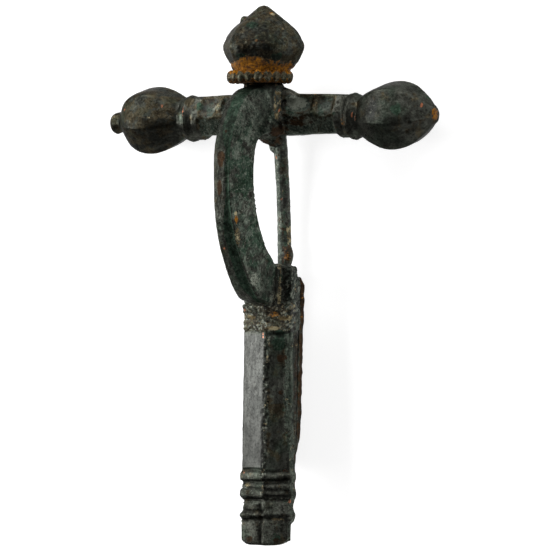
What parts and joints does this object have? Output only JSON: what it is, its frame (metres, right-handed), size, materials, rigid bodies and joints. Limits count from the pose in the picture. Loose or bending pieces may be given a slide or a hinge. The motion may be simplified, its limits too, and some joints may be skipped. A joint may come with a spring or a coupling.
{
  "type": "crossbow fibula brooch",
  "caption": "Ancient cast bronze crossbow brooch with an arched bow, onion knobs on a crossbar, a faceted foot with a pin sheath and a hinged pin.",
  "frame": {"origin": "middle of the bounding box on the surface that the brooch lies on, under the bow", "axes": "+X along the crossbar to the sheath's open side, +Y from the foot to the head knob, +Z from the surface it lies on to the crown of the bow"},
  "size_m": [0.0534, 0.08, 0.0221],
  "materials": {
    "body_bronze": "dark grey-green corroded patina, worn paler on the facets, with brown and ochre crust in the hollows",
    "knob_bronze": "dark brown-grey patina with orange rust round the neck",
    "collar_bronze": "dark patina with orange rust between the beads",
    "pin_bronze": "grey-green patina with dark speckles and brown crust",
    "axle_iron": "rusted"
  },
  "bodies": {
    "brooch": {"cast_body": "body_bronze", "head_knob": "knob_bronze", "beaded_collar": "collar_bronze", "hinge_axle": "axle_iron"},
    "pin": {"pin": "pin_bronze"}
  },
  "joints": [
    {"name": "pin_swing", "type": "hinge", "parent": "brooch", "child": "pin", "pos_m": [0.0002, 0.0225, 0.004], "axis": [1, 0, 0], "range_deg": [0, 80]}
  ]
}
